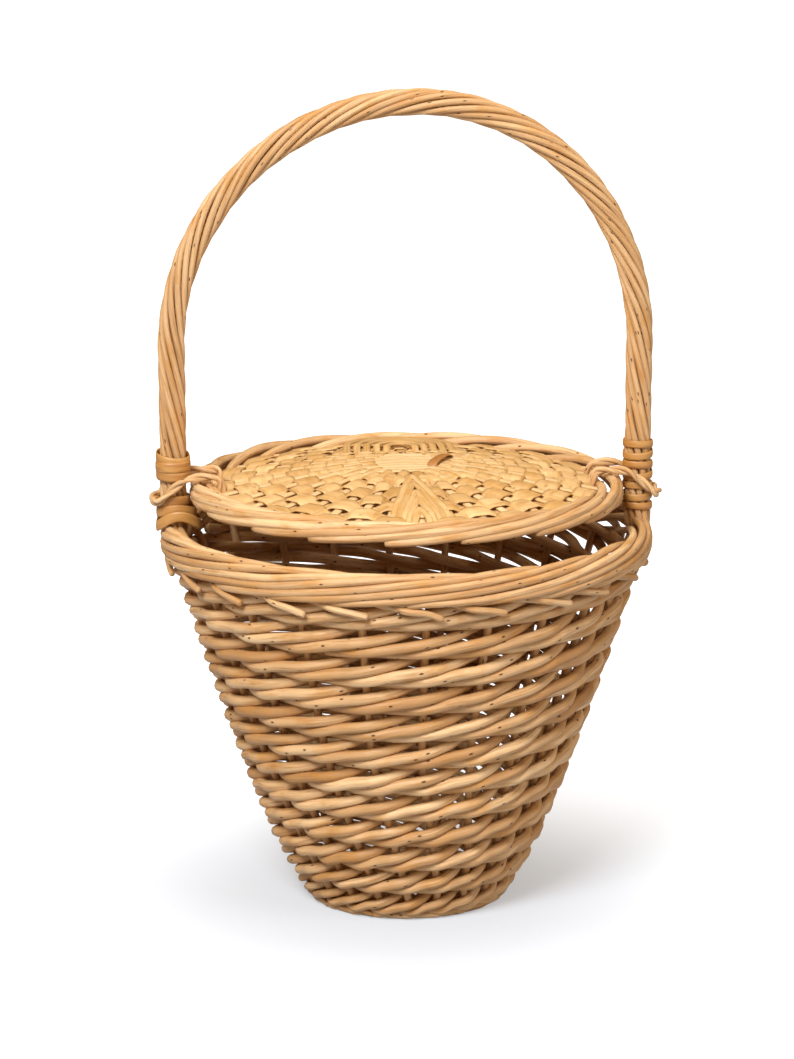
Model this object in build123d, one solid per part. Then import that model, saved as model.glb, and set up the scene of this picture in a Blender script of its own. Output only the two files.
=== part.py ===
from build123d import *
import math
import os

# Round willow basket with a fixed twisted handle and a lid that slides up the handle.
# Millimetres. Origin: centre of the base, where it stands. +Z up, +X through a handle foot.

# ---- basket body ----
rim_radius = 128.0          # middle of the wall, at the top of the border
foot_radius = 47.0          # middle of the wall, where it stands
body_height = 215.0         # to the top of the rim border
flare_power = 0.78          # how soon the wall spreads above the foot
wall_width = 17.2           # wall measured level, weaver outside to weaver inside
base_thickness = 8.6
border_height = 24.0
border_width = 15.0
border_round = 5.0

# ---- stakes ----
stake_count = 22
stake_radius = 2.0
stake_tuck = 10.0           # how far inside the foot of the wall a stake ends
stake_lean = 15.0           # degrees that a stake turns about the axis near the foot
lean_height = 110.0         # the stakes run straight up above this
fit_gap = 0.1               # play round a rod in the hole that it fills

# ---- base sticks ----
base_stick_count = 5
base_stick_radius = 1.8
base_stick_pitch = 9.0
base_stick_margin = 13.0    # from the foot of the wall to the ends of the sticks

# ---- handle ----
handle_rise = 236.5         # from the rim to the top of the arch
handle_leg = 97.0           # from the rim to where the upright legs begin to bend in
handle_lean = 4.0           # the arch leans this far to +X at its crown
handle_rod_count = 9
handle_rod_radius = 1.72
handle_core_radius = 3.6
handle_rod_gap = 0.32       # between the core and the rods wound on it
handle_twist_pitch = 143.0
handle_rod_steps = 12       # straight runs in one turn of a rod
handle_peg_depth = 95.0     # the core is pushed this far into the wall
handle_rod_depth = 8.0      # the rods are pushed this far into the border
rim_bend_depth = 10.0       # below the rim, where the upright legs turn in along the wall
rim_bend_radius = 40.0
rim_hole_play = 1.0         # room round the rods in the border
arch_runs = 9               # straight runs in the arch before rounding

# ---- foot bindings ----
collar_height = 10.6        # thick lower wraps, which the lid's loops rest on
collar_radius = 10.0
sleeve_height = 29.0        # single wraps above the collar
sleeve_thickness = 0.8

# ---- lid ----
lid_gap = 12.0              # from the rim border up to the lid's border
lid_play = 0.6              # between the lid's edge and the bindings on the legs
lid_border_width = 14.0
lid_border_height = 11.4
lid_border_round = 4.0
lid_rise = 12.0             # how far the crown of the lid stands above its edge
lid_weave_thickness = 6.4
lid_row_count = 7
crown_radius = 36.0         # the bare crossing in the middle
lid_stick_count = 9
lid_stick_width = 4.4
lid_stick_gap = 0.6         # between neighbours in the crossing
lid_stick_thickness = 2.2
lid_stick_fan = 10.0        # degrees between neighbouring ends
lid_stick_bend = 20.0       # where a stick leaves the crown
lid_stick_tuck = 8.0        # how far the ends run into the border
tie_length = 30.0
tie_width = 6.0
tie_thickness = 1.0
tie_turn = 65.0

# ---- loops that hold the lid to the handle ----
loop_radius = 1.8
loop_play = 0.5             # between a loop and what it goes round
loop_hole_play = 1.3        # room for the lid to tip about the loops
loop_under = 3.6            # centre of the loop below the weave
loop_bend = 4.0

WILLOW = Color(0.72, 0.55, 0.33)


def wall_radius(z):
    """Middle of the wall at height z."""
    share = max(z, 0.0) / body_height
    return foot_radius + (rim_radius - foot_radius) * share ** flare_power


def rounded_path(points, radii):
    """Straight runs joined by tangent arcs, one radius for each corner."""
    return FilletPolyline(*points, radius=radii)


def corner_radius(before, corner, after, share=0.45):
    """The largest arc that a share of the shorter run leaves room for."""
    first = Vector(*corner) - Vector(*before)
    second = Vector(*after) - Vector(*corner)
    half_turn = math.radians(first.get_angle(second)) / 2
    return share * min(first.length, second.length) / math.tan(half_turn)


def round_rod(points, radius, share=0.45):
    """A rod of round section along straight runs and arcs."""
    trios = zip(points, points[1:], points[2:])
    path = rounded_path(points, [corner_radius(a, b, c, share) for a, b, c in trios])
    section = Plane(origin=path @ 0, z_dir=path % 0) * Circle(radius)
    return sweep(section, path=path)


def rounded_ring(inner, outer, low, high, round_off):
    """A ring about the axis with a rounded rectangular section."""
    section = Plane.XZ * Pos((inner + outer) / 2, (low + high) / 2) * Rectangle(outer - inner, high - low)
    section = fillet(section.vertices(), round_off)
    return revolve(section, Axis.Z)


def polar(radius, angle, z):
    turn = math.radians(angle)
    return (radius * math.cos(turn), radius * math.sin(turn), z)


# ---- where things stand ----
border_low = body_height - border_height
border_inner = rim_radius - border_width / 2
border_outer = rim_radius + border_width / 2
stake_plane = base_thickness / 2
handle_half_span = rim_radius
handle_top = body_height + handle_rise
handle_spring = body_height + handle_leg
stake_inner_radius = foot_radius - stake_tuck
base_stick_half_length = foot_radius - base_stick_margin
rods_side_by_side = (handle_rod_radius + handle_rod_gap / 2) / math.sin(math.pi / handle_rod_count)
handle_rod_ring = max(handle_core_radius + handle_rod_gap + handle_rod_radius, rods_side_by_side)
handle_radius = handle_rod_ring + handle_rod_radius
sleeve_radius = handle_radius + fit_gap + sleeve_thickness
lid_radius = handle_half_span - sleeve_radius - lid_play
lid_low = body_height + lid_gap
lid_mid = lid_low + lid_border_height / 2
lid_high = lid_low + lid_border_height
lid_inner = lid_radius - lid_border_width
lid_stick_pitch = lid_stick_width + lid_stick_gap
lid_crown = lid_mid + lid_rise

# ---- stakes: out of the base, then up the middle of the wall ----
stake_heights = [share * border_low for share in (0.12, 0.25, 0.41, 0.59, 0.79, 1.0)]


def lean_at(z):
    share = max(0.0, 1.0 - z / lean_height)
    return stake_lean * share ** 1.5


stakes = []
for number in range(stake_count):
    home = (number + 0.5) * 360 / stake_count
    start_angle = home + lean_at(stake_plane)
    points = [
        polar(stake_inner_radius, start_angle, stake_plane),
        polar(wall_radius(stake_plane) - stake_radius, start_angle, stake_plane),
    ]
    points += [polar(wall_radius(z), home + lean_at(z), z) for z in stake_heights]
    stakes.append(round_rod(points, stake_radius))

# ---- handle: a stout core in the wall and over the arch, with rods wound round it ----
handle_crown = handle_top - handle_radius
arch_height = handle_crown - handle_spring


def arch_corners():
    """Corners of straight runs that touch the arch at evenly spaced points."""
    corners = []
    for step in range(arch_runs):
        middle = math.pi * (step + 0.5) / arch_runs
        spread = 1 / math.cos(math.pi / arch_runs / 2)
        x = handle_half_span * math.cos(middle) * spread + handle_lean * math.sin(middle) ** 2
        z = handle_spring + arch_height * math.sin(middle) * spread
        corners.append((x, 0.0, z))
    return corners


peg_low = body_height - handle_peg_depth
rim_bend = body_height - rim_bend_depth
right_peg = [(wall_radius(z), 0.0, z) for z in (peg_low, (peg_low + rim_bend) / 2)]
left_peg = [(-x, y, z) for x, y, z in reversed(right_peg)]
core_points = right_peg + [(handle_half_span, 0.0, rim_bend)] + arch_corners()
core_points += [(-handle_half_span, 0.0, rim_bend)] + left_peg
core_trios = zip(core_points, core_points[1:], core_points[2:])
core_radii = [corner_radius(a, b, c, share=0.49) for a, b, c in core_trios]
bend = len(right_peg) - 1
core_radii[bend] = core_radii[-1 - bend] = rim_bend_radius
core_line = rounded_path(core_points, core_radii)
core_section = Plane(origin=core_line @ 0, z_dir=core_line % 0) * Circle(handle_core_radius)
handle_core = sweep(core_section, path=core_line)

# the rods start inside the border and follow the core in a slow twist
rod_low = body_height - handle_rod_depth
below, above = 0.0, 0.5
for halving in range(40):
    middle = (below + above) / 2
    if (core_line @ middle).Z < rod_low:
        below = middle
    else:
        above = middle
rod_start = core_line.length * above
rod_length = core_line.length - 2 * rod_start


def line_at(distance):
    """Place and direction on the handle's line, from where the rods start at +X."""
    share = (rod_start + distance) / core_line.length
    return core_line @ share, core_line % share


rod_runs = round(rod_length / handle_twist_pitch * handle_rod_steps)
handle_rods = []
for number in range(handle_rod_count):
    points = []
    for step in range(rod_runs + 1):
        distance = rod_length * step / rod_runs
        place, along = line_at(distance)
        side = Vector(0, 1, 0)
        out = along.cross(side)
        turn = 2 * math.pi * (number / handle_rod_count - distance / handle_twist_pitch)
        spot = place + (side * math.cos(turn) + out * math.sin(turn)) * handle_rod_ring
        points.append(tuple(spot))
    handle_rods.append(round_rod(points, handle_rod_radius, share=0.4))

# ---- wall: the woven skin as one shell, with a channel for each stake and peg ----
wall_shares = (0.1, 0.2, 0.34, 0.5, 0.66, 0.83, 1.0)
wall_heights = [0.0, base_thickness] + [share * border_low for share in wall_shares]
outline = [(wall_radius(z) + wall_width / 2, z) for z in wall_heights]
outline += [(wall_radius(z) - wall_width / 2, z) for z in reversed(wall_heights)]
wall_section = Plane.XZ * make_face(Polyline(*outline, close=True))
side_weave = revolve(wall_section, Axis.Z)
side_weave = side_weave - stakes - handle_core

# ---- base: woven disc on two layers of sticks ----
base_edge = [wall_radius(z) - wall_width / 2 for z in (0.0, base_thickness)]
base_outline = [(0, 0), (base_edge[0], 0), (base_edge[1], base_thickness), (0, base_thickness)]
base_weave = revolve(Plane.XZ * make_face(Polyline(*base_outline, close=True)), Axis.Z)
layer = base_stick_radius + fit_gap
base_sticks = {"base_sticks_across": [], "base_sticks_through": []}
for number in range(base_stick_count):
    offset = (number - (base_stick_count - 1) / 2) * base_stick_pitch
    half = math.sqrt(base_stick_half_length ** 2 - offset ** 2)
    rod = Cylinder(base_stick_radius, 2 * half)
    base_sticks["base_sticks_across"].append(Pos(0, offset, stake_plane + layer) * Rot(0, 90, 0) * rod)
    base_sticks["base_sticks_through"].append(Pos(offset, 0, stake_plane - layer) * Rot(90, 0, 0) * rod)
base_weave = base_weave - base_sticks["base_sticks_across"] - base_sticks["base_sticks_through"] - stakes

# ---- rim border, with a hole for each foot of the handle ----
rim_border = rounded_ring(border_inner, border_outer, border_low, body_height, border_round)
hole = Cylinder(handle_radius + rim_hole_play, 2 * (handle_rod_depth + rim_hole_play))
for side in (1, -1):
    rim_border -= Pos(side * handle_half_span, 0, body_height) * hole
rim_border -= handle_core

# ---- bindings: thick wraps at each foot, then single wraps up the leg ----
collar = Cylinder(collar_radius, collar_height, align=(Align.CENTER, Align.CENTER, Align.MIN))
sleeve = Cylinder(sleeve_radius, sleeve_height, align=(Align.CENTER, Align.CENTER, Align.MIN))
leg_hole = Cylinder(handle_radius + fit_gap, 3 * (collar_height + sleeve_height))
binding = collar + Pos(0, 0, collar_height) * sleeve - leg_hole
foot_bindings = {
    "foot_binding_right": Pos(handle_half_span, 0, body_height) * binding,
    "foot_binding_left": Pos(-handle_half_span, 0, body_height) * binding,
}

# ---- lid sticks: two layers crossed in the middle, their ends fanned out to the border ----
stick_layer = lid_stick_thickness / 2 + fit_gap
crown_half = lid_stick_pitch * (lid_stick_count - 1) / 2 + lid_stick_width
stick_end = lid_inner + lid_stick_tuck


def lid_stick(number, layer_height, play=0.0):
    """A flat stick along X: level over the crown, then down and out to the border."""
    step = number - (lid_stick_count - 1) / 2
    end_x, end_y, end_z = polar(stick_end, step * lid_stick_fan, lid_mid)
    offset = step * lid_stick_pitch
    top = lid_crown + layer_height
    level_run = [(-crown_half, offset, top), (crown_half, offset, top)]
    path = rounded_path([(-end_x, end_y, end_z)] + level_run + [(end_x, end_y, end_z)], [lid_stick_bend] * 2)
    along = path % 0
    level = Vector(0, 0, 1).cross(along).normalized()
    start = Plane(origin=path @ 0, x_dir=level, z_dir=along)
    return sweep(start * Rectangle(lid_stick_width + 2 * play, lid_stick_thickness + 2 * play), path=path)


lid_sticks_x = [lid_stick(number, stick_layer) for number in range(lid_stick_count)]
lid_sticks_y = [Rot(0, 0, 90) * lid_stick(number, -stick_layer) for number in range(lid_stick_count)]
lid_slots = []
for number in range(lid_stick_count):
    lid_slots.append(lid_stick(number, stick_layer, fit_gap / 2))
    lid_slots.append(Rot(0, 0, 90) * lid_stick(number, -stick_layer, fit_gap / 2))

# ---- loops: up through the lid's weave, over its border and round the leg ----
eye = sleeve_radius + loop_play + loop_radius
loop_inset = lid_inner - loop_radius - loop_play
loop_reach = math.sqrt(loop_inset ** 2 - eye ** 2)
loop_outer = handle_half_span + eye
loop_rest = body_height + collar_height + loop_radius + fit_gap
loop_top = lid_high + 2 * loop_play + loop_radius
loop_low = lid_mid - lid_weave_thickness / 2 - loop_under


def loop_side(side):
    """One strand of a loop, from under the lid out to the far side of the leg."""
    return [
        (loop_reach, side * eye, loop_low),
        (loop_reach, side * eye, loop_top),
        (lid_radius + 1.0, side * eye, loop_top),
        (loop_outer, side * eye, loop_rest),
    ]


def closed_rod(points, radius, bend):
    """A ring of rod through the points, with the same arc at every corner."""
    path = FilletPolyline(*points, radius=bend, close=True)
    section = Plane(origin=path @ 0, z_dir=path % 0) * Circle(radius)
    return sweep(section, path=path)


loop_points = loop_side(1) + loop_side(-1)[::-1]
loop_right = closed_rod(loop_points, loop_radius, loop_bend)
loop_left = Rot(0, 0, 180) * loop_right

# ---- lid weave: flat ribbons in rings, each with slots for the sticks ----
row_width = (lid_inner - crown_radius) / lid_row_count


def lid_height(radius):
    """Middle of the lid's weave at a radius."""
    share = (radius - crown_half) / (lid_inner - crown_half)
    return lid_crown + (lid_mid - lid_crown) * share


half_weave = lid_weave_thickness / 2
through = Cylinder(loop_radius + loop_hole_play, 4 * lid_weave_thickness + 2 * lid_rise)
loop_holes = []
for x in (loop_reach, -loop_reach):
    for y in (eye, -eye):
        loop_holes.append(Pos(x, y, lid_mid) * through)
lid_ribbons = []
for row in range(lid_row_count):
    inner = crown_radius + row * row_width
    outer = inner + row_width
    low, high = lid_height(outer), lid_height(inner)
    outline = [
        (inner, high - half_weave),
        (outer, low - half_weave),
        (outer, low + half_weave),
        (inner, high + half_weave),
    ]
    ring = revolve(Plane.XZ * make_face(Polyline(*outline, close=True)), Axis.Z)
    ring = ring - lid_slots
    if outer > loop_reach - loop_radius - loop_hole_play:
        ring = ring - loop_holes
    lid_ribbons.append(ring)

lid_border = rounded_ring(lid_inner, lid_radius, lid_low, lid_high, lid_border_round)
lid_border = lid_border - lid_slots

tie_height = lid_crown + 2 * stick_layer + tie_thickness / 2
strap = Box(tie_length, tie_width, tie_thickness)
lid_tie = Pos(crown_half - tie_width, 0, tie_height) * Rot(0, 0, tie_turn) * strap

# ---- write every piece ----
pieces = {
    "base_weave": base_weave,
    "side_weave": side_weave,
    "rim_border": rim_border,
    "handle_core": handle_core,
    "lid_border": lid_border,
    "lid_sticks_x": Compound(children=lid_sticks_x),
    "lid_sticks_y": Compound(children=lid_sticks_y),
    "lid_tie": lid_tie,
    "loop_left": loop_left,
    "loop_right": loop_right,
}
pieces.update(foot_bindings)
for name, rods in base_sticks.items():
    pieces[name] = Compound(children=rods)
for number, stake in enumerate(stakes, start=1):
    pieces[f"stake_{number:02d}"] = stake
for number, rod in enumerate(handle_rods, start=1):
    pieces[f"handle_rod_{number}"] = rod
for number, ribbon in enumerate(lid_ribbons, start=1):
    pieces[f"lid_ribbon_{number}"] = ribbon

os.makedirs("parts", exist_ok=True)
for name, piece in pieces.items():
    piece.color = WILLOW
    export_step(piece, f"parts/{name}.step")
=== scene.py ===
import bpy, bmesh, math
import numpy as np
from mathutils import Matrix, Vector


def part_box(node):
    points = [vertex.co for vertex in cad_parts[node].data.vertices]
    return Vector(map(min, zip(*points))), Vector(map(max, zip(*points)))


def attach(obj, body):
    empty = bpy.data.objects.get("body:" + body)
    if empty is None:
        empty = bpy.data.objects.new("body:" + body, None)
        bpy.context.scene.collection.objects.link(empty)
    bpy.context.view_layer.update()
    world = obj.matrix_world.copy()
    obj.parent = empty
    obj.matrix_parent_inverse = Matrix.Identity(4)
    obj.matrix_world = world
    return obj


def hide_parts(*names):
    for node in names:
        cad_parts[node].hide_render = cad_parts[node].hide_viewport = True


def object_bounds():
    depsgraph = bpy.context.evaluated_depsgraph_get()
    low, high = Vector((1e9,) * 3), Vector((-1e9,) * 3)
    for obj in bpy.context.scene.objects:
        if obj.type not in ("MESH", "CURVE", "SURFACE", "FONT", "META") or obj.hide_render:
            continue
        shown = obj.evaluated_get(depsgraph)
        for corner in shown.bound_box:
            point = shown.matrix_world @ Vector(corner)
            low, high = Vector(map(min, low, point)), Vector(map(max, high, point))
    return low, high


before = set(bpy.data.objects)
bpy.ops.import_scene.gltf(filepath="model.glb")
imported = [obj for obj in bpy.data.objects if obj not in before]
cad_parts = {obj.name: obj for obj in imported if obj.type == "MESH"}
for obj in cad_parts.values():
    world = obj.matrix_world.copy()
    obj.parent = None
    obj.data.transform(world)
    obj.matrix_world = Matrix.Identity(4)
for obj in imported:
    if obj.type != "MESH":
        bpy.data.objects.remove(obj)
cad_low, cad_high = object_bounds()

# ---- camera ----
# A long lens a little above the rim, turned slightly to the basket's left,
# so that the left foot of the handle is the nearer one.
camera_turn = math.radians(-5.0)
camera_away, camera_height = 2.15, 0.72
look_across, look_height = -0.0052, 0.2075
sensor_size = 36.0
lens_in_heights = 3.787
nearest_seen, farthest_seen = 0.05, 50.0

camera_data = bpy.data.cameras.new("camera")
camera_data.sensor_width = sensor_size
camera_data.lens = lens_in_heights * camera_data.sensor_width
camera_data.clip_start, camera_data.clip_end = nearest_seen, farthest_seen
camera = bpy.data.objects.new("camera", camera_data)
bpy.context.scene.collection.objects.link(camera)
right_hand = Vector((math.cos(camera_turn), math.sin(camera_turn), 0.0))
camera_across, camera_back = math.sin(camera_turn) * camera_away, -math.cos(camera_turn) * camera_away
camera.location = (camera_across, camera_back, camera_height)
target = right_hand * look_across + Vector((0.0, 0.0, look_height))
camera.rotation_euler = (target - camera.location).to_track_quat("-Z", "Y").to_euler()
bpy.context.scene.camera = camera

# ---- floor, backdrop and lights ----
# A white floor and sky that the camera sees as plain white, with only a weak warm glow from
# them on the basket. A soft light high in front on the left, one overhead, a weak one on the right.
white_glow = (1.0, 1.0, 1.0, 1.0)
warm_glow = (1.0, 0.64, 0.30, 1.0)
sky_on_basket, sky_seen = 0.34, 1.0
floor_colour, floor_roughness = (0.40, 0.45, 0.53, 1.0), 0.9
floor_half_size = 6.0
# the floor's own glow is weaker near the basket, so that its soft shadow shows
glow_start, glow_end = 0.04, 0.36
glow_near_basket, glow_far_off = 0.38, 1.0
light_target = Vector((0.0, 0.0, 0.2))
# a colour Mix node has more sockets than it shows: these are its two colours and its result
mix_first, mix_second, mix_result = 6, 7, 2


def link(tree, source, target):
    tree.links.new(source, target)


def node(tree, kind, **settings):
    made = tree.nodes.new(kind)
    for key, value in settings.items():
        setattr(made, key, value)
    return made


def fill(tree, sockets, values):
    """Each socket gets a plain number or colour, or is linked to another socket."""
    for socket, value in zip(sockets, values):
        if isinstance(value, (int, float, tuple)):
            socket.default_value = value
        else:
            link(tree, value, socket)


def arithmetic(tree, operation, first, second, clamp=False):
    """A Math node on two sockets or plain numbers."""
    made = node(tree, "ShaderNodeMath", operation=operation, use_clamp=clamp)
    fill(tree, made.inputs, (first, second))
    return made.outputs[0]


def blend_colours(tree, factor, first, second):
    """A Mix node between two colours, which are sockets or plain colours."""
    made = node(tree, "ShaderNodeMix", data_type="RGBA")
    sockets = (made.inputs["Factor"], made.inputs[mix_first], made.inputs[mix_second])
    fill(tree, sockets, (factor, first, second))
    return made.outputs[mix_result]


def spread(tree, value, low, high, bottom=0.0, top=1.0):
    """Eases a value so that low becomes bottom and high becomes top."""
    made = node(tree, "ShaderNodeMapRange", interpolation_type="SMOOTHSTEP")
    ends = [made.inputs[name] for name in ("From Min", "From Max", "To Min", "To Max")]
    fill(tree, ends, (low, high, bottom, top))
    link(tree, value, made.inputs["Value"])
    return made.outputs["Result"]


scene = bpy.context.scene
scene.view_settings.view_transform = "Standard"
sky = bpy.data.worlds.new("sky")
scene.world = sky
sky.use_nodes = True
sky_tree = sky.node_tree
backdrop = sky_tree.nodes["Background"]
seen = node(sky_tree, "ShaderNodeLightPath").outputs["Is Camera Ray"]
link(sky_tree, blend_colours(sky_tree, seen, warm_glow, white_glow), backdrop.inputs["Color"])
sky_strength = spread(sky_tree, seen, 0.0, 1.0, sky_on_basket, sky_seen)
link(sky_tree, sky_strength, backdrop.inputs["Strength"])

sweep_material = bpy.data.materials.new("white_sweep")
sweep_material.use_nodes = True
sweep_tree = sweep_material.node_tree
sweep_shader = sweep_tree.nodes["Principled BSDF"]
sweep_shader.inputs["Base Color"].default_value = floor_colour
sweep_shader.inputs["Roughness"].default_value = floor_roughness
sweep_shader.inputs["Emission Color"].default_value = white_glow
floor_place = node(sweep_tree, "ShaderNodeTexCoord").outputs["Object"]
floor_away = node(sweep_tree, "ShaderNodeVectorMath", operation="LENGTH")
link(sweep_tree, floor_place, floor_away.inputs[0])
away_from_middle = floor_away.outputs["Value"]
glow = spread(sweep_tree, away_from_middle, glow_start, glow_end, glow_near_basket, glow_far_off)
floor_seen = node(sweep_tree, "ShaderNodeLightPath").outputs["Is Camera Ray"]
seen_glow = arithmetic(sweep_tree, "MULTIPLY", glow, floor_seen)
link(sweep_tree, seen_glow, sweep_shader.inputs["Emission Strength"])
bm = bmesh.new()
bmesh.ops.create_grid(bm, x_segments=1, y_segments=1, size=floor_half_size)
floor_mesh = bpy.data.meshes.new("floor")
bm.to_mesh(floor_mesh)
bm.free()
floor = bpy.data.objects.new("floor", floor_mesh)
scene.collection.objects.link(floor)
floor_mesh.materials.append(sweep_material)


def soft_light(name, place, size, power, colour):
    """A square light that faces the middle of the basket."""
    data = bpy.data.lights.new(name, "AREA")
    data.shape = "SQUARE"
    data.size = size
    data.energy = power
    data.color = colour
    light = bpy.data.objects.new(name, data)
    scene.collection.objects.link(light)
    light.location = place
    light.rotation_euler = (light_target - light.location).to_track_quat("-Z", "Y").to_euler()


soft_light("key_light", (-0.9, -1.9, 2.1), 1.0, 88.0, (1.0, 0.99, 0.98))
soft_light("top_light", (0.1, 0.2, 2.6), 1.4, 22.0, (1.0, 0.98, 0.96))
soft_light("fill_light", (1.8, -1.3, 1.3), 1.2, 15.0, (1.0, 0.98, 0.96))

# ---- willow finish ----
# Peeled willow: pale tan with long fibres, softer and redder patches where the rod was bent or
# bruised, and small dark buds left along it. Every finish below is made from this one group.

# scales are for a metre along the rod, a turn round it, and a step of the rod's own tone
fibre_scale, fibre_detail, fibre_roughness = (38.0, 1.0, 31.0), 4.0, 0.62
patch_scale, patch_detail, patch_roughness = (55.0, 2.0, 17.0), 3.0, 0.55
shade_scale, shade_detail, shade_roughness = (4.5, 0.7, 43.0), 1.0, 0.4
bud_scale, bud_core, bud_edge = (52.0, 2.2, 0.0), 0.03, 0.07
cells_without_bud = 0.40
tone_strength, shade_strength, patch_strength, streak_strength = 0.55, 0.35, 0.65, 0.70
# between which noise values a shade, a patch or a streak comes in
shade_range, patch_range, streak_range = (0.35, 0.7), (0.46, 0.74), (0.44, 0.70)
bud_colour = (0.10, 0.045, 0.018, 1.0)
smoothest, roughness_range = 0.36, 0.3
patch_relief, bud_relief = 0.6, 1.2
relief_depth = 0.0006


def new_socket(group, name, kind, way="INPUT", value=None):
    socket = group.interface.new_socket(name=name, in_out=way, socket_type=kind)
    if value is not None:
        socket.default_value = value


def stretch(tree, along, around, third, scale):
    """A vector for a pattern that is scaled apart along and around the rod."""
    joined = node(tree, "ShaderNodeCombineXYZ")
    for socket, value, size in zip(joined.inputs, (along, around, third), scale):
        link(tree, arithmetic(tree, "MULTIPLY", value, size), socket)
    return joined.outputs[0]


def noise(tree, vector, detail, roughness):
    made = node(tree, "ShaderNodeTexNoise")
    made.inputs["Scale"].default_value = 1.0
    made.inputs["Detail"].default_value = detail
    made.inputs["Roughness"].default_value = roughness
    link(tree, vector, made.inputs["Vector"])
    return made.outputs["Fac"]


fibre = bpy.data.node_groups.new("willow_fibre", "ShaderNodeTree")
new_socket(fibre, "Light", "NodeSocketColor", value=(0.78, 0.56, 0.30, 1.0))
new_socket(fibre, "Dark", "NodeSocketColor", value=(0.50, 0.28, 0.10, 1.0))
new_socket(fibre, "Warm", "NodeSocketColor", value=(0.62, 0.30, 0.08, 1.0))
new_socket(fibre, "Buds", "NodeSocketFloat", value=1.0)
new_socket(fibre, "Fibre Width", "NodeSocketFloat", value=12.0)
new_socket(fibre, "Color", "NodeSocketColor", way="OUTPUT")
new_socket(fibre, "Roughness", "NodeSocketFloat", way="OUTPUT")
new_socket(fibre, "Height", "NodeSocketFloat", way="OUTPUT")
given = node(fibre, "NodeGroupInput").outputs
rod_map = node(fibre, "ShaderNodeUVMap", uv_map="UVMap")
parts = node(fibre, "ShaderNodeSeparateXYZ")
link(fibre, rod_map.outputs[0], parts.inputs[0])
along, around = parts.outputs[0], parts.outputs[1]
tone = node(fibre, "ShaderNodeAttribute", attribute_name="tone").outputs["Fac"]

# long fibres, blotches, and slow changes of shade
fine_around = arithmetic(fibre, "MULTIPLY", around, given["Fibre Width"])
fibre_place = stretch(fibre, along, fine_around, tone, fibre_scale)
fibres = noise(fibre, fibre_place, fibre_detail, fibre_roughness)
patch_place = stretch(fibre, along, around, tone, patch_scale)
patches = noise(fibre, patch_place, patch_detail, patch_roughness)
shade_place = stretch(fibre, along, around, tone, shade_scale)
shades = noise(fibre, shade_place, shade_detail, shade_roughness)

# buds: the middles of some of the cells
cells = node(fibre, "ShaderNodeTexVoronoi", voronoi_dimensions="2D")
cells.inputs["Scale"].default_value = 1.0
link(fibre, stretch(fibre, along, around, tone, bud_scale), cells.inputs["Vector"])
cell_draw = node(fibre, "ShaderNodeSeparateXYZ")
link(fibre, cells.outputs["Color"], cell_draw.inputs[0])
off_bud = spread(fibre, cells.outputs["Distance"], bud_core, bud_edge)
near_bud = arithmetic(fibre, "SUBTRACT", 1.0, off_bud, clamp=True)
has_bud = arithmetic(fibre, "GREATER_THAN", cell_draw.outputs[0], cells_without_bud)
buds = arithmetic(fibre, "MULTIPLY", near_bud, has_bud)
buds = arithmetic(fibre, "MULTIPLY", buds, given["Buds"], clamp=True)

# from the light colour to the dark one, then warm patches, dark streaks and buds
tone_share = arithmetic(fibre, "MULTIPLY", tone, tone_strength)
shade_share = arithmetic(fibre, "MULTIPLY", spread(fibre, shades, *shade_range), shade_strength)
dark_share = arithmetic(fibre, "ADD", tone_share, shade_share, clamp=True)
rod_colour = blend_colours(fibre, dark_share, given["Light"], given["Dark"])
warm_share = arithmetic(fibre, "MULTIPLY", spread(fibre, patches, *patch_range), patch_strength)
rod_colour = blend_colours(fibre, warm_share, rod_colour, given["Warm"])
streaks = arithmetic(fibre, "MULTIPLY", spread(fibre, fibres, *streak_range), streak_strength)
rod_colour = blend_colours(fibre, streaks, rod_colour, given["Dark"])
rod_colour = blend_colours(fibre, buds, rod_colour, bud_colour)
rougher = arithmetic(fibre, "MULTIPLY", fibres, roughness_range)
ridges = arithmetic(fibre, "ADD", fibres, arithmetic(fibre, "MULTIPLY", patches, patch_relief))
bud_bumps = arithmetic(fibre, "MULTIPLY", buds, bud_relief)
put_out = node(fibre, "NodeGroupOutput").inputs
link(fibre, rod_colour, put_out["Color"])
link(fibre, arithmetic(fibre, "ADD", rougher, smoothest), put_out["Roughness"])
link(fibre, arithmetic(fibre, "ADD", ridges, bud_bumps), put_out["Height"])


def willow(name, light, dark, warm, buds, fibre_width, bump, gloss):
    """A finish of split or peeled willow from the shared fibre group."""
    material = bpy.data.materials.new(name + "_finish")
    material.use_nodes = True
    tree = material.node_tree
    shader = tree.nodes["Principled BSDF"]
    pattern = node(tree, "ShaderNodeGroup", node_tree=fibre)
    pattern.inputs["Light"].default_value = (*light, 1.0)
    pattern.inputs["Dark"].default_value = (*dark, 1.0)
    pattern.inputs["Warm"].default_value = (*warm, 1.0)
    pattern.inputs["Buds"].default_value = buds
    pattern.inputs["Fibre Width"].default_value = fibre_width
    relief = node(tree, "ShaderNodeBump")
    relief.inputs["Strength"].default_value = bump
    relief.inputs["Distance"].default_value = relief_depth
    link(tree, pattern.outputs["Color"], shader.inputs["Base Color"])
    link(tree, pattern.outputs["Roughness"], shader.inputs["Roughness"])
    link(tree, pattern.outputs["Height"], relief.inputs["Height"])
    link(tree, relief.outputs["Normal"], shader.inputs["Normal"])
    shader.inputs["Specular IOR Level"].default_value = gloss
    return material


peeled_light, peeled_dark, peeled_warm = (0.82, 0.57, 0.31), (0.40, 0.18, 0.045), (0.56, 0.25, 0.04)
peeled = willow("peeled_willow", peeled_light, peeled_dark, peeled_warm, 1.0, 12.0, 0.8, 0.45)

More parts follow.
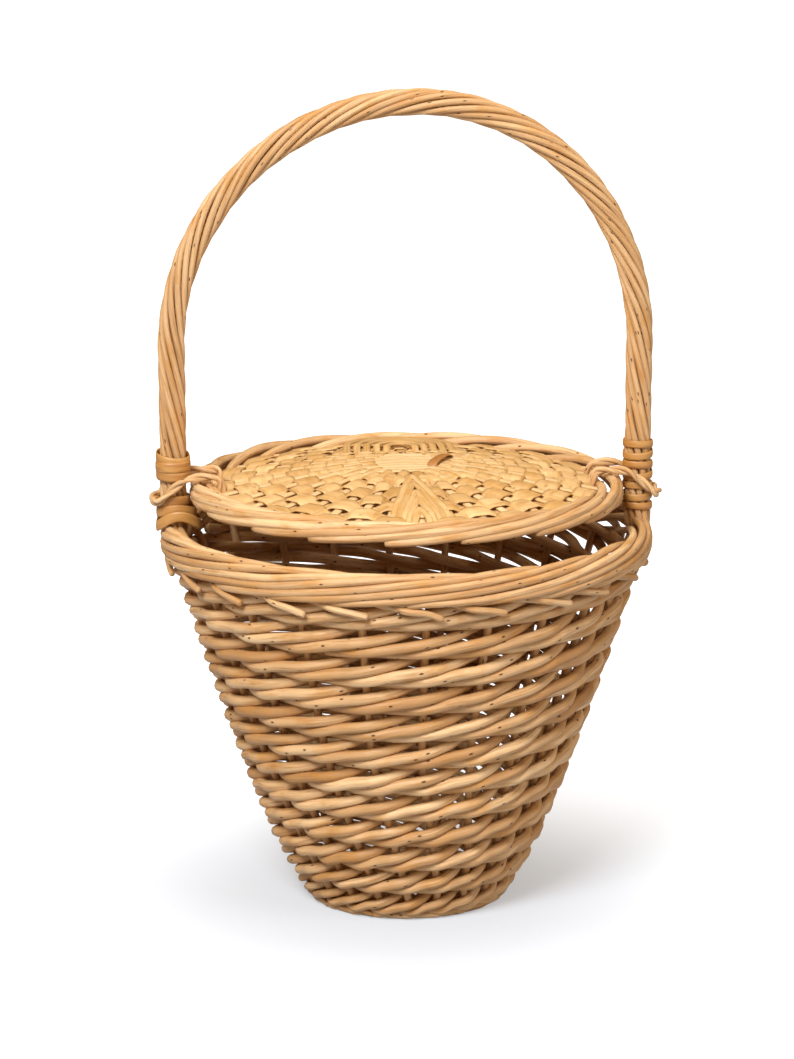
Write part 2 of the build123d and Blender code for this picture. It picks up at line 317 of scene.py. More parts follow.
# ---- stakes and rim border ----
# Twenty-two thin rods stand in the wall. Under the rim each one comes out to the front and rises to
# the right along the outside of the border. It goes over the top, down the inside and out again
# below the border, where its trimmed tip lies on the wall.
foot_radius, rim_radius, flare_power = 0.047, 0.128, 0.78
rim_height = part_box("rim_border")[1].z
border_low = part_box("rim_border")[0].z
stake_count = 22
stake_step = math.tau / stake_count
stake_radius = 0.0021
stake_seed = 100
# near the foot the stakes lean round, less and less up to this height
stake_lean = math.radians(15.0)
lean_height, lean_power = 0.110, 1.5
# a stake starts between the base sticks, at half the height of the base, and turns up at the foot
base_middle = 0.0043
stake_root, stake_turn_up = 0.037, 0.044
wall_shares = (0.05, 0.11, 0.18, 0.27, 0.37, 0.48, 0.60, 0.72, 0.85)
# the laid-down end: number of stakes passed, height from the top of the border, place off the
# middle of the border, and radius of the rod
laid_down = [
    (0.05, -0.0200, -0.0050, 0.0022),
    (0.45, -0.0182, -0.0010, 0.0023),
    (0.90, -0.0165, 0.0042, 0.0022),
    (1.70, -0.0141, 0.0052, 0.0022),
    (2.70, -0.0105, 0.0053, 0.0022),
    (3.60, -0.0068, 0.0050, 0.0022),
    (4.40, -0.0038, 0.0036, 0.0022),
    (5.10, -0.0025, 0.0002, 0.0022),
    (5.80, -0.0048, -0.0040, 0.0022),
    (6.50, -0.0100, -0.0052, 0.0021),
    (7.05, -0.0150, -0.0050, 0.0020),
    (7.35, -0.0175, -0.0010, 0.0019),
    (7.60, -0.0195, 0.0034, 0.0019),
    (7.90, -0.0222, 0.0036, 0.0019),
    (8.12, -0.0242, 0.0036, 0.0019),
]
laid_down_stakes = 8
end_stretch, end_unevenness = 0.12, 0.0007
stake_steps, stake_unevenness = 6, 0.05
# sides of a rod's mesh, how much thinner its cut ends are, and how close corners are joined
rod_sides, cut_end_share, joining_distance = 10, 0.82, 1e-6
# metres along the fibres from the lightest rod's place to the darkest one's
map_shift = 7.0


def wall_radius(height):
    """Middle of the wall at a height."""
    share = np.maximum(height, 0.0) / rim_height
    return foot_radius + (rim_radius - foot_radius) * share**flare_power


def lean_at(height):
    """How far round the stakes are turned at a height."""
    return stake_lean * np.maximum(0.0, 1.0 - height / lean_height) ** lean_power


def through(points, steps):
    """A smooth line through every point, with a number of steps between neighbours."""
    points = np.asarray(points, float)
    padded = np.vstack([2 * points[0] - points[1], points, 2 * points[-1] - points[-2]])
    share = np.linspace(0.0, 1.0, steps, endpoint=False)[:, None]
    runs = []
    for a, b, c, d in zip(padded, padded[1:], padded[2:], padded[3:]):
        bend = 2 * a - 5 * b + 4 * c - d
        twist = 3 * b - 3 * c + d - a
        runs.append(b + 0.5 * share * (c - a + share * (bend + share * twist)))
    return np.vstack(runs + [points[-1:]])


def round_the_axis(line):
    """Turns rows of (angle, radius, height, ...) into places."""
    angle, radius, height = line[:, 0], line[:, 1], line[:, 2]
    return np.column_stack([radius * np.cos(angle), radius * np.sin(angle), height])


def outward(places):
    """Level direction away from the basket's axis at each place."""
    flat = places * (1.0, 1.0, 0.0)
    return flat / np.maximum(np.linalg.norm(flat, axis=1), 1e-9)[:, None]


def facing_up(count):
    return np.tile((0.0, 0.0, 1.0), (count, 1))


def distance_along(line):
    steps = np.linalg.norm(np.diff(line, axis=0), axis=1)
    return np.concatenate([[0.0], np.cumsum(steps)])


def heading(line, closed=False):
    """Direction of a line at each of its places."""
    along = np.gradient(line, axis=0)
    if closed:
        along[0] = along[-1] = line[1] - line[-2]
    return along / np.linalg.norm(along, axis=1)[:, None]


def squared(facing, along):
    """The directions in facing, turned until they are square to those in along."""
    out = facing - along * np.sum(facing * along, axis=1)[:, None]
    return out / np.linalg.norm(out, axis=1)[:, None]


def strand(places, half_width, facing, half_depth=None, shade=0.5, closed=False):
    """One rod or skein: its line, half sizes across and along facing, and shade or shades."""
    count = len(places)
    width = np.broadcast_to(half_width, count).astype(float)
    depth = width if half_depth is None else np.broadcast_to(half_depth, count).astype(float)
    shape = {"places": places, "width": width, "depth": depth, "facing": facing}
    return {**shape, "shade": shade, "closed": closed}


def strand_mesh(one, sides):
    """A sheet of faces rolled round the strand's line, with a map in metres along it."""
    places = one["places"]
    along = heading(places, one["closed"])
    out = squared(one["facing"], along)
    across = np.cross(along, out)
    distance = distance_along(places)
    sheet = bmesh.new()
    sheet.loops.layers.uv.new("UVMap")
    bmesh.ops.create_grid(sheet, x_segments=len(places) - 1, y_segments=sides, size=1.0)
    mesh = bpy.data.meshes.new("strand")
    sheet.to_mesh(mesh)
    sheet.free()
    flat = np.zeros(len(mesh.vertices) * 3)
    mesh.vertices.foreach_get("co", flat)
    flat = flat.reshape(-1, 3)
    station = np.rint((flat[:, 0] + 1.0) / 2 * (len(places) - 1)).astype(int)
    side = np.rint((flat[:, 1] + 1.0) / 2 * sides).astype(int)
    turn = math.pi + math.tau * side / sides
    rolled = places[station]
    rolled = rolled + out[station] * (np.cos(turn) * one["depth"][station])[:, None]
    rolled = rolled + across[station] * (np.sin(turn) * one["width"][station])[:, None]
    mesh.vertices.foreach_set("co", rolled.ravel())
    corners = np.zeros(len(mesh.loops), int)
    mesh.loops.foreach_get("vertex_index", corners)
    tone_here = np.broadcast_to(one["shade"], len(places)).astype(float)
    # each strand's map starts at a place of its own, so that no two show the same fibres
    chart_along = distance[station[corners]] + map_shift * tone_here[0]
    chart = np.column_stack([chart_along, side[corners] / sides])
    mesh.uv_layers["UVMap"].data.foreach_set("uv", chart.ravel())
    tones = mesh.attributes.new("tone", "FLOAT", "POINT")
    tones.data.foreach_set("value", tone_here[station])
    return mesh


def make_piece(name, strands, finish, body, stands_for, sides=rod_sides):
    """Joins strands into one closed mesh, which rides on a body and stands for CAD nodes."""
    joined = bmesh.new()
    for one in strands:
        mesh = strand_mesh(one, sides)
        joined.from_mesh(mesh)
        bpy.data.meshes.remove(mesh)
    bmesh.ops.remove_doubles(joined, verts=joined.verts, dist=joining_distance)
    bmesh.ops.recalc_face_normals(joined, faces=joined.faces)
    for face in joined.faces:
        face.smooth = True
    rims = [edge for edge in joined.edges if edge.is_boundary]
    if rims:
        # the cut ends of rods that aren't closed rings
        bmesh.ops.holes_fill(joined, edges=rims, sides=0)
    mesh = bpy.data.meshes.new(name)
    joined.to_mesh(mesh)
    joined.free()
    mesh.materials.append(finish)
    piece = bpy.data.objects.new(name, mesh)
    scene.collection.objects.link(piece)
    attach(piece, body)
    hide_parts(*stands_for)


def uneven(rng, count, amount, wave=12):
    """A slow random wave along a rod, about 0 and up to about amount."""
    knots = rng.uniform(-amount, amount, count // wave + 4)
    return np.interp(np.arange(count) / wave, np.arange(len(knots)), knots)


def trimmed(half_sizes):
    """The two cut ends of a rod are slightly smaller than the rod."""
    half_sizes = np.array(half_sizes, float)
    half_sizes[[0, -1]] *= cut_end_share
    return half_sizes


for number in range(stake_count):
    rng = np.random.default_rng(stake_seed + number)
    home = (number + 0.5) * stake_step
    in_base = home + lean_at(base_middle)
    rows = [(in_base, radius, base_middle, stake_radius) for radius in (stake_root, stake_turn_up)]
    for share in wall_shares:
        height = share * border_low
        rows.append((home + lean_at(height), wall_radius(height), height, stake_radius))
    stretched = rng.uniform(-end_stretch, end_stretch)
    for passed, below, off_middle, radius in laid_down:
        height = rim_height + below + rng.uniform(-end_unevenness, end_unevenness)
        turned = passed + stretched * passed / laid_down_stakes
        rows.append((home + turned * stake_step, rim_radius + off_middle, height, radius))
    line = through(rows, stake_steps)
    places = round_the_axis(line)
    thick = line[:, 3] * (1.0 + uneven(rng, len(line), stake_unevenness))
    shade = rng.uniform(0.0, 1.0)
    rod = strand(places, trimmed(thick), outward(places), shade=shade)
    stands_for = [f"stake_{number + 1:02d}", "rim_border"]
    make_piece(f"stake_rod_{number + 1:02d}", [rod], peeled, "basket", stands_for)

# ---- side weave ----
# Twenty-two thicker rods, one started beside each stake. Every rod passes in front of two
# stakes and behind the next, and climbs by one rod's height at each stake.
weaver_radius = 0.0030
weaver_seed = 300
# a level is one stake passed; over the first few, at the foot, a rod climbs less
level_count = 38
foot_levels, foot_climb = 3, 0.0014
weave_low, weave_high = 0.0026, rim_height - 0.0175
# the thin tips come first: share of the full thickness at these numbers of stakes passed
tip_levels, tip_shares = (0, 3, 9), (0.62, 0.72, 1.0)
# where a rod lies at each of three stakes, in front (1) or behind (-1), and its shift up the wall
at_stake = [(1.0, -0.0001), (1.0, 0.0001), (-1.0, 0.0)]
# the same half-way to the next stake
between = [(0.9, 0.0), (0.1, -0.0004), (0.0, 0.0004)]
climb_unevenness, even_levels = 0.0004, 4
# a rod leans out by half of the wall's own slope, which is taken over this rise
lean_share, slope_rise = 0.5, 0.001
# the lowest rods stand clear of the table by this many of their half thicknesses
table_clearance = 1.15
weaver_steps = 4
weaver_unevenness, weaver_wave, weaver_spread = 0.10, 20, 0.04

# how far up the slanting wall each height is
heights = np.linspace(0.0, rim_height, 400)
slant = np.hypot(np.diff(heights), np.diff(wall_radius(heights)))
climbs = np.concatenate([[0.0], np.cumsum(slant)])
climb_low, climb_high = np.interp((weave_low, weave_high), heights, climbs)
level_climb = (climb_high - climb_low - foot_levels * foot_climb) / (level_count - foot_levels)
for number in range(stake_count):
    rng = np.random.default_rng(weaver_seed + number)
    rows = []
    for half in range(2 * level_count + 1):
        level = half / 2
        turns = at_stake if half % 2 == 0 else between
        side, shift = turns[(half // 2) % 3]
        foot_share = min(level, foot_levels)
        thick_here = weaver_radius * float(np.interp(level, tip_levels, tip_shares))
        climb = climb_low + foot_share * foot_climb + (level - foot_share) * level_climb
        wander = rng.uniform(-climb_unevenness, climb_unevenness) * min(1.0, level / even_levels)
        climb += shift + wander
        height = float(np.interp(climb, climbs, heights))
        spread_out = wall_radius(height + slope_rise) - wall_radius(height)
        lean = lean_share * math.atan2(spread_out, slope_rise)
        off_stake = stake_radius + thick_here
        radius = wall_radius(height) + side * off_stake * math.cos(lean)
        height -= side * off_stake * math.sin(lean)
        height = max(height, table_clearance * thick_here)
        home = (number + level + 0.5) * stake_step
        rows.append((home + lean_at(height), radius, height, thick_here))
    line = through(rows, weaver_steps)
    places = round_the_axis(line)
    swelling = 1.0 + uneven(rng, len(line), weaver_unevenness, weaver_wave)
    thick = line[:, 3] * (swelling + rng.uniform(-weaver_spread, weaver_spread))
    rod = strand(places, trimmed(thick), outward(places), shade=rng.uniform(0.0, 1.0))
    make_piece(f"weaver_{number + 1:02d}", [rod], peeled, "basket", ["side_weave"])

# ---- base ----
# Five sticks across five, with thin rods woven round them in a flat disc.
# The last rounds show under the wall, where they bear on the table.
base_stick_count = 5
base_stick_radius, base_stick_pitch, base_stick_reach = 0.0018, 0.009, 0.034
base_layers = [("base_sticks_across", 0.0062, 0.0), ("base_sticks_through", 0.0024, math.pi / 2)]
stick_stations = 9
# the rounds are two thin rods that start on opposite sides and pass one another at each stick
base_rod_count, base_rod_radius, base_rod_unevenness = 2, 0.0015, 0.08
round_seed, round_pitch, round_start = 500, 0.0027, 0.021
round_turns, round_stations, round_waves, round_swing = 12.2, 44, 11, 0.0024
for name, height, quarter in base_layers:
    sticks = []
    for number in range(base_stick_count):
        offset = (number - base_stick_count // 2) * base_stick_pitch
        half = math.sqrt(base_stick_reach**2 - offset**2)
        spots = np.linspace(-half, half, stick_stations)
        places = np.column_stack([
            spots * math.cos(quarter) - offset * math.sin(quarter),
            spots * math.sin(quarter) + offset * math.cos(quarter),
            np.full(stick_stations, height),
        ])
        thick = trimmed(np.full(stick_stations, base_stick_radius))
        sticks.append(strand(places, thick, facing_up(stick_stations), shade=0.3 + 0.1 * number))
    make_piece(name.replace("sticks", "rods"), sticks, peeled, "basket", [name])

rounds = []
for number in range(base_rod_count):
    rng = np.random.default_rng(round_seed + number)
    angles = np.arange(0.0, round_turns * math.tau, math.tau / round_stations)
    radius = round_start + round_pitch * (angles / math.tau + number / base_rod_count)
    wave = np.cos(angles * round_waves + math.pi * number)
    height = base_middle + round_swing * wave
    places = round_the_axis(np.column_stack([angles + math.pi * number, radius, height]))
    thick = base_rod_radius * (1.0 + uneven(rng, len(angles), base_rod_unevenness))
    rounds.append(strand(places, trimmed(thick), facing_up(len(angles)), shade=0.35 + 0.2 * number))
make_piece("base_rounds", rounds, peeled, "basket", ["base_weave"], sides=8)

# ---- handle ----
# A stout rod pushed down into the wall at both sides, with nine thin rods laid
# along it in a slow twist.
half_span = 0.128
handle_spring = 0.312
handle_lean = 0.004
handle_rod_count, handle_rod_radius = 9, 0.00176
handle_core_radius = 0.0036
rod_ring = 0.0056
twist_pitch = 0.143
twist_seed = 700
handle_crown = cad_high.z - rod_ring - handle_rod_radius
rod_foot = rim_height - 0.008
leg_step, arch_stations = 0.004, 90
# how uneven the twist, the rods' ring and their thickness are, and over how many stations
twist_uneven, ring_uneven, thick_uneven = (0.10, 16), (0.00025, 14), (0.06, 18)
# the core's own line through the wall
peg_heights = np.array([0.120, 0.150, 0.185])
other_way = (-1.0, 1.0, 1.0)


def handle_line(foot):
    """Middle of the handle from its +X foot over the arch to its -X foot."""
    leg = np.arange(foot, handle_spring, leg_step)
    turn = np.linspace(0.0, math.pi, arch_stations)
    rise = handle_crown - handle_spring
    arch_x = half_span * np.cos(turn) + handle_lean * np.sin(turn) ** 2
    arch_z = handle_spring + rise * np.sin(turn)
    arch = np.column_stack([arch_x, np.zeros(arch_stations), arch_z])
    up_leg = np.column_stack([np.full(len(leg), half_span), np.zeros(len(leg)), leg])
    return np.vstack([up_leg, arch, up_leg[::-1] * other_way])


def facing_back(count):
    return np.tile((0.0, 1.0, 0.0), (count, 1))


middle = handle_line(rod_foot)
run = distance_along(middle)
front_back = facing_back(len(middle))
inside_out = np.cross(heading(middle), front_back)
for number in range(handle_rod_count):
    rng = np.random.default_rng(twist_seed + number)
    turn = math.tau * (number / handle_rod_count - run / twist_pitch)
    turn = turn + uneven(rng, len(run), *twist_uneven)
    away = front_back * np.cos(turn)[:, None] + inside_out * np.sin(turn)[:, None]
    ring = rod_ring + uneven(rng, len(run), *ring_uneven)
    thick = handle_rod_radius * (1.0 + uneven(rng, len(run), *thick_uneven))
    rod = strand(middle + away * ring[:, None], trimmed(thick), away, shade=rng.uniform(0.05, 0.7))
    make_piece(f"handle_withy_{number + 1}", [rod], peeled, "basket", [f"handle_rod_{number + 1}"])

peg = np.column_stack([wall_radius(peg_heights), np.zeros(len(peg_heights)), peg_heights])
core_line = np.vstack([peg, middle, peg[::-1] * other_way])
core_thick = trimmed(np.full(len(core_line), handle_core_radius))
core = strand(core_line, core_thick, facing_back(len(core_line)), shade=0.6)
make_piece("handle_bow", [core], peeled, "basket", ["handle_core"])

# ---- foot bindings ----
# Flat split skein wound round each foot of the handle: glossy, orange tan, and thicker at the
# bottom, where it also holds the border. The left foot has three close low wraps and three high
# ones; the right foot has narrower wraps with gaps between them.
skein_light, skein_dark, skein_warm = (0.62, 0.33, 0.09), (0.34, 0.13, 0.02), (0.46, 0.17, 0.02)
skein = willow("willow_skein", skein_light, skein_dark, skein_warm, 0.0, 5.0, 0.4, 0.8)
leg_radius = rod_ring + handle_rod_radius
skein_half_depth = 0.00045
wrap_stations, wrap_tilt_turn = 41, 0.6
# reach inwards, outwards and across of the wraps that go round the leg alone
close, full, fuller = [(leg_radius + gap,) * 3 for gap in (0.0006, 0.0016, 0.0019)]
# for each wrap: height over the border, reach, sag where it leaves the leg, tilt, half width, shade
left_wraps = [
    (0.0046, (0.0150, 0.0094, 0.0106), 0.0070, 0.0, 0.0030, 0.30),
    (0.0086, (0.0122, 0.0091, 0.0098), 0.0032, 0.0004, 0.0029, 0.45),
    (0.0126, full, 0.0008, -0.0004, 0.0029, 0.70),
    (0.0266, full, 0.0, 0.0005, 0.0029, 0.55),
    (0.0312, fuller, 0.0, -0.0003, 0.0030, 0.15),
    (0.0356, full, 0.0, 0.0016, 0.0028, 0.35),
]
right_wrap_count, right_wrap_low, right_wrap_pitch = 7, 0.0045, 0.0058
right_tilts, right_shades = (-0.0005, 0.0008), (0.2, 0.5, 0.3, 0.6)
right_wraps = []
for number in range(right_wrap_count):
    height = right_wrap_low + right_wrap_pitch * number
    right_wraps.append((height, close, 0.0, right_tilts[number % 2], 0.0021, right_shades[number % 4]))


def wrap(side, height, reaches, sag, tilt, half_width, shade):
    """A closed turn of skein round a leg; sag drops it where it leaves the leg in and out."""
    reach_in, reach_out, reach_across = reaches
    turn = np.linspace(0.0, math.tau, wrap_stations)
    centre = half_span + (reach_out - reach_in) / 2
    reach = (reach_out + reach_in) / 2
    x = centre + reach * np.cos(turn)
    y = reach_across * np.sin(turn)
    z = rim_height + height - sag * np.cos(turn) ** 2 + tilt * np.sin(turn + wrap_tilt_turn)
    places = np.column_stack([side * x, y, z])
    level = np.zeros(wrap_stations)
    facing = np.column_stack([side * np.cos(turn), np.sin(turn) * reach / reach_across, level])
    return strand(places, half_width, facing, skein_half_depth, shade, closed=True)


for name, side, wraps in (("left", -1, left_wraps), ("right", 1, right_wraps)):
    skeins = [wrap(side, *row) for row in wraps]
    make_piece(f"{name}_foot_skein", skeins, skein, "basket", [f"foot_binding_{name}"])

# ---- lid sticks ----
# Nine flat white sticks each way, laid close side by side across the middle, then opened out
# into a fan so that their ends reach the border every ten degrees.
white_light, white_dark, white_warm = (0.78, 0.58, 0.32), (0.56, 0.34, 0.13), (0.62, 0.36, 0.12)
white = willow("white_willow", white_light, white_dark, white_warm, 0.15, 9.0, 0.6, 0.4)
lid_low_corner, lid_high_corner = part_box("lid_border")
lid_middle = (lid_low_corner.z + lid_high_corner.z) / 2
lid_radius = lid_high_corner.x
lid_border_width = 0.014
lid_inner = lid_radius - lid_border_width
lid_rise, dome_power, dome_end = 0.012, 1.6, 1.1
lid_stick_count, lid_stick_pitch = 9, 0.005
lid_stick_half_width, lid_stick_half_depth = 0.0023, 0.0009
lid_stick_seed = 900
lid_fan = math.radians(10.0)
lid_layers = [("lid_sticks_x", 0.0012, 0.0), ("lid_sticks_y", -0.0012, math.pi / 2)]
# a stick runs straight through the first places, then opens out from the edge of the crossing
# to the border, through these shares of the way
straight_places = (0.0, 0.009, 0.017)
crown_half = lid_stick_pitch * (lid_stick_count // 2) + 0.0044
opening_shares = (0.12, 0.3, 0.5, 0.7, 0.85, 1.0)
# how far a stick's end goes into the border, and where the two layers come together
stick_tuck = 0.004
layers_part, layers_fade = 0.03, 0.05
stick_steps, stick_unevenness = 4, 0.0002
width_unevenness, width_spread = 0.07, 0.06


def lid_height(radius):
    """The lid's gentle dome, from its crown down to the border."""
    return lid_middle + lid_rise * (1.0 - np.minimum(radius / lid_inner, dome_end) ** dome_power)


for name, layer, quarter in lid_layers:
    sticks = []
    for number in range(lid_stick_count):
        rng = np.random.default_rng(lid_stick_seed + number + int(1000 * quarter))
        step = number - lid_stick_count // 2
        end = np.array([math.cos(step * lid_fan), math.sin(step * lid_fan)]) * (lid_inner + stick_tuck)
        bend = np.array([crown_half, step * lid_stick_pitch])
        opening = [bend + (end - bend) * share for share in opening_shares]
        straight = [np.array([x, step * lid_stick_pitch]) for x in straight_places]
        right_half = np.array(straight + opening)
        left_half = right_half[:0:-1] * (-1.0, 1.0)
        spots = through(np.vstack([left_half, right_half]), stick_steps)
        reach = np.hypot(spots[:, 0], spots[:, 1])
        fade = np.clip(1.0 - (reach - layers_part) / layers_fade, 0.0, 1.0)
        heights_here = lid_height(reach) + layer * fade
        heights_here = heights_here + uneven(rng, len(spots), stick_unevenness)
        turned_x = spots[:, 0] * math.cos(quarter) - spots[:, 1] * math.sin(quarter)
        turned_y = spots[:, 0] * math.sin(quarter) + spots[:, 1] * math.cos(quarter)
        places = np.column_stack([turned_x, turned_y, heights_here])
        wide = 1.0 + uneven(rng, len(spots), width_unevenness)
        wide = trimmed(lid_stick_half_width * (wide + rng.uniform(-width_spread, width_spread)))
        shade = rng.uniform(0.0, 0.6)
        sticks.append(strand(places, wide, facing_up(len(spots)), lid_stick_half_depth, shade))
    make_piece(name.replace("sticks", "white_sticks"), sticks, white, "lid", [name])

# ---- lid ribbons ----
# Seven rows of flat split willow, each over one stick end and under the next. Two oval turns
# fill the middle, and folded strips lie over the rows at the front and the back.
split_light, split_dark, split_warm = (0.78, 0.53, 0.25), (0.44, 0.23, 0.06), (0.54, 0.27, 0.05)
split = willow("split_willow", split_light, split_dark, split_warm, 0.35, 7.0, 0.8, 0.35)
lid_row_count = 7
ribbon_seed = 1100
crown_radius = 0.035
row_pitch = (lid_inner - crown_radius) / lid_row_count
ribbon_half_width, ribbon_half_depth = 0.0065, 0.0007
# how far a ribbon swings up and down at the stick ends, which it passes every ten degrees
ribbon_swing, swing_sharpness = 0.0015, 1.5
stick_end_count = 36
stick_step = math.tau / stick_end_count
stations_per_stick = 8
ribbon_tilt = 0.15
row_unevenness, ribbon_unevenness, ribbon_wave = 0.0005, 0.12, 9
# a ribbon's own shade, and how far each of its visible flaps is lighter or darker
ribbon_shades, flap_shade = (0.05, 0.7), 0.4
# the two turns inside the first row are oval: half sizes across and front to back
crown_turns = [(0.0235, 0.0290), (0.0315, 0.0350)]
# at the front the rows are drawn in to the crossing, less in the outer rows
front_turn = 1.5 * math.pi
draw_in, draw_in_reach = 0.0075, math.radians(24.0)
# folded strips over the rows: pointed ones at the front, arched ones at the back
fold_count, fold_half_width, fold_steps = 5, 0.0021, 4
front_lift, back_lift = 0.0021, 0.0042
front_near, front_far, front_slope = 0.030, 0.101, 4.0
front_shares = np.array([-1.0, -0.6, -0.25, -0.05, 0.05, 0.25, 0.6, 1.0])
back_near, back_far, back_spread, back_power = 0.030, 0.097, 0.030, 0.8
back_turns = np.linspace(math.pi, 0.0, 11)
# over the last share of its length at both ends a strip dips under the rows
fold_dip, dip_share = 0.005, 0.2


def ribbon(rng, across, depth, pinch, parity):
    """One closed turn of ribbon, over one stick end and under the next."""
    count = stick_end_count * stations_per_stick + 1
    turn = np.linspace(0.0, math.tau, count)
    radius = np.hypot(across * np.cos(turn), depth * np.sin(turn))
    radius += uneven(rng, count, row_unevenness)
    off_front = np.abs((turn - front_turn + math.pi) % math.tau - math.pi)
    radius -= pinch * np.clip(1.0 - off_front / draw_in_reach, 0.0, 1.0)
    radius[-1] = radius[0]
    phase = turn / stick_step * math.pi + math.pi * parity
    swing = np.clip(swing_sharpness * np.cos(phase), -1.0, 1.0) * ribbon_swing
    flap = np.rint(turn / stick_step).astype(int) % stick_end_count
    flap_shades = rng.uniform(*ribbon_shades)
    flap_shades = flap_shades + rng.uniform(-flap_shade, flap_shade, stick_end_count)
    shades_here = np.clip(flap_shades, 0.0, 1.0)[flap]
    places = round_the_axis(np.column_stack([turn, radius, lid_height(radius) + swing]))
    up = facing_up(count) + ribbon_tilt * outward(places)
    wide = ribbon_half_width * (1.0 + uneven(rng, count, ribbon_unevenness, ribbon_wave))
    wide[-1] = wide[0]
    return strand(places, wide, up, ribbon_half_depth, shades_here, closed=True)


def fold(corners, lift, shade):
    """A strip laid on the rows, from one foot over its fold to the other foot."""
    spots = through(corners, fold_steps)
    count = len(spots)
    reach = np.hypot(spots[:, 0], spots[:, 1])
    past = np.abs(np.linspace(-1.0, 1.0, count)) - (1.0 - dip_share)
    dip = fold_dip * np.clip(past, 0.0, 1.0) / dip_share
    places = np.column_stack([spots, lid_height(reach) + lift - dip])
    return strand(places, fold_half_width, facing_up(count), ribbon_half_depth, shade)


def front_fold(number):
    """A pointed strip: its point towards the crossing, its feet at the border."""
    point = front_near + number * (front_far - front_near) / (fold_count + 0.5)
    half = (front_far - point) / front_slope
    return [(half * share, -point - abs(share) * (front_far - point)) for share in front_shares]


def back_fold(number):
    """An arched strip: its feet at the crossing, its top towards the border."""
    share = 1.0 - number / (fold_count + 0.5)
    rise = share * (back_far - back_near)
    corners = []
    for turn in back_turns:
        height = rise * math.sin(turn) ** back_power
        corners.append((back_spread * share * math.cos(turn), back_near + height))
    return corners


for row in range(lid_row_count):
    rng = np.random.default_rng(ribbon_seed + row)
    radius = crown_radius + (row + 0.5) * row_pitch
    turns = [ribbon(rng, radius, radius, draw_in * (1.0 - row / lid_row_count), row)]
    if row == 0:
        for number, (across, depth) in enumerate(crown_turns):
            turns.append(ribbon(rng, across, depth, 0.0, number))
    if row < fold_count:
        turns.append(fold(front_fold(row), front_lift, rng.uniform(0.0, 0.7)))
        turns.append(fold(back_fold(row), back_lift, rng.uniform(0.1, 0.9)))
    make_piece(f"ribbon_row_{row + 1}", turns, split, "lid", [f"lid_ribbon_{row + 1}"])

# ---- lid border ----
# Eighteen rods plaited round the edge. Each starts with a blunt butt low on the outside, climbs
# to the right along the edge, and crosses over the top to the inside.
border_rod_count = 18
border_seed = 1300
start_unevenness, height_unevenness, rod_unevenness = 0.03, 0.0003, 0.06
stroke_steps = 6
# for each rod: degrees from its start, place off the lid's edge, height off the middle of the
# border, and radius
lid_strokes = [
    (0.0, -0.0032, -0.0046, 0.0024),
    (10.0, -0.0026, -0.0036, 0.0026),
    (24.0, -0.0026, -0.0012, 0.0026),
    (38.0, -0.0032, 0.0012, 0.0026),
    (50.0, -0.0050, 0.0032, 0.0026),
    (60.0, -0.0088, 0.0034, 0.0025),
    (70.0, -0.0122, 0.0018, 0.0023),
    (80.0, -0.0148, -0.0016, 0.0020),
]
plait = []
for number in range(border_rod_count):
    rng = np.random.default_rng(border_seed + number)
    start = number * math.tau / border_rod_count
    start += rng.uniform(-start_unevenness, start_unevenness)
    rows = []
    for degrees, off_edge, off_middle, radius in lid_strokes:
        height = lid_middle + off_middle + rng.uniform(-height_unevenness, height_unevenness)
        rows.append((start + math.radians(degrees), lid_radius + off_edge, height, radius))
    line = through(rows, stroke_steps)
    places = round_the_axis(line)
    thick = line[:, 3] * (1.0 + uneven(rng, len(line), rod_unevenness))
    plait.append(strand(places, trimmed(thick), outward(places), shade=rng.uniform(0.0, 0.6)))
make_piece("lid_plait", plait, peeled, "lid", ["lid_border"])

# ---- lid tie ----
# A short strap of skein laid slantwise over the end of the crossed sticks, with its two ends
# tucked down between them.
tie_low, tie_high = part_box("lid_tie")
tie_middle = (tie_low + tie_high) / 2
tie_turn, tie_length = math.radians(65.0), 0.030
tie_half_width, tie_half_depth = 0.0029, 0.0005
tie_lift, tie_tuck = 0.0004, 0.003
tie_spots = np.linspace(-0.5, 0.5, 9)
tie_places = np.column_stack([
    tie_middle.x + tie_spots * tie_length * math.cos(tie_turn),
    tie_middle.y + tie_spots * tie_length * math.sin(tie_turn),
    tie_middle.z + tie_lift - tie_tuck * (2 * tie_spots) ** 4,
])
tie = strand(tie_places, tie_half_width, facing_up(len(tie_spots)), tie_half_depth, 0.8)
make_piece("crown_tie", [tie], skein, "lid", ["lid_tie"])

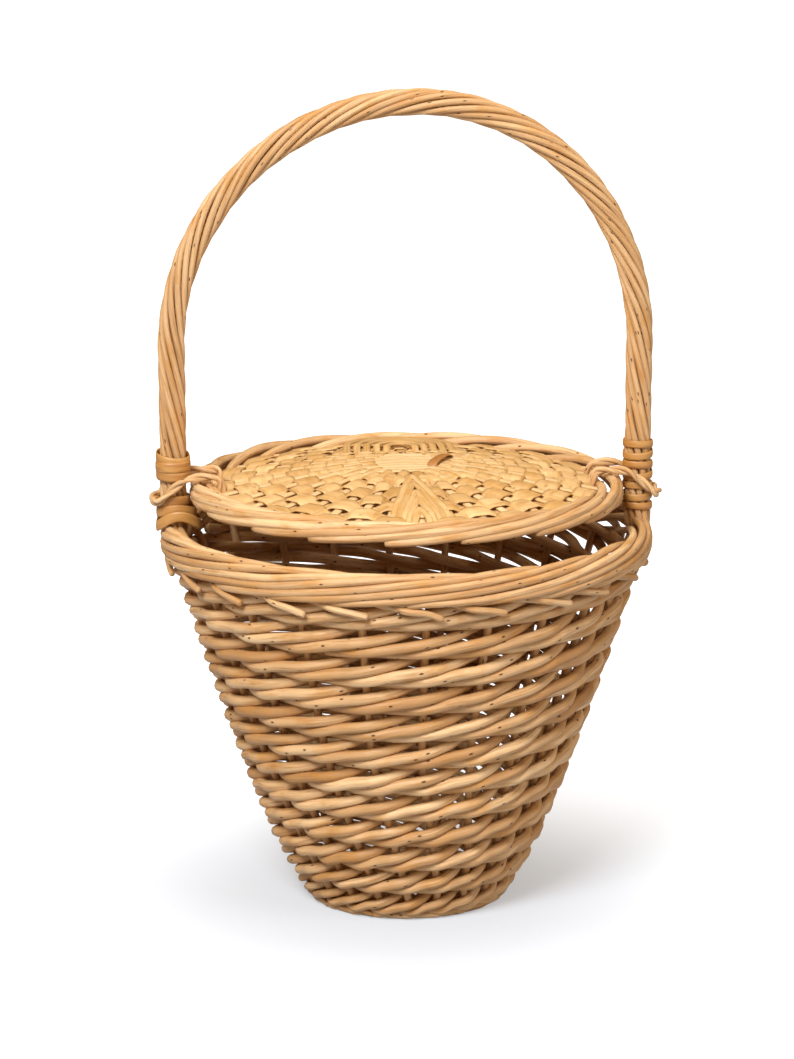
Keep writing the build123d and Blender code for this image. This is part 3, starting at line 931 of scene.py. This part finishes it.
# ---- loops ----
# Each loop is two thin rods twisted together, up through the lid, over its border and round the
# leg of the handle. The loops slide up the legs with the lid.
loop_strand_radius = 0.0014
loop_offset = 0.0012
loop_pitch = 0.030
loop_rod = 0.0018
loop_rest = rim_height + 0.0125
loop_steps = 6
# corners borrowed from the other end, so that the ring runs smoothly through its joint
loop_overlap = 2
for name, side in (("loop_right", 1), ("loop_left", -1)):
    low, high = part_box(name)
    reach_low = min(abs(low.x), abs(high.x)) + loop_rod
    reach_high = max(abs(low.x), abs(high.x)) - loop_rod
    eye = high.y - loop_rod
    top, under = high.z - loop_rod, low.z + loop_rod
    # half of the ring: under the lid, up through it, over its border, and round the leg
    one_side = [
        (reach_low, 0.0, under),
        (reach_low, 0.6 * eye, under),
        (reach_low, eye, under + 0.003),
        (reach_low, eye, top - 0.003),
        (reach_low + 0.004, eye, top),
        (lid_radius, eye, top - 0.0005),
        (half_span, eye, (top + loop_rest) / 2 + 0.001),
        (reach_high - 0.003, eye, loop_rest + 0.001),
        (reach_high, 0.55 * eye, loop_rest),
        (reach_high, 0.0, loop_rest),
    ]
    other_side = [(x, -y, z) for x, y, z in one_side[-2:0:-1]]
    ring = one_side + other_side
    corners = np.array(ring[-loop_overlap:] + ring + ring[:loop_overlap + 1], float)
    line = through(corners, loop_steps)[loop_overlap * loop_steps:-loop_overlap * loop_steps]
    run = distance_along(line)
    along = heading(line, closed=True)
    heart = np.array([(reach_low + reach_high) / 2, 0.0, (top + loop_rest) / 2])
    away = squared(line - heart, along)
    crosswise = np.cross(along, away)
    twists = round(run[-1] / loop_pitch)
    pair = []
    for number in range(2):
        turn = math.tau * twists * run / run[-1] + math.pi * number
        lean = away * np.cos(turn)[:, None] + crosswise * np.sin(turn)[:, None]
        places = (line + lean * loop_offset) * (side, side, 1.0)
        lean = lean * (side, side, 1.0)
        pair.append(strand(places, loop_strand_radius, lean, shade=0.1 + 0.5 * number, closed=True))
    make_piece(f"twisted_{name}", pair, peeled, "lid_loops", [name], sides=8)
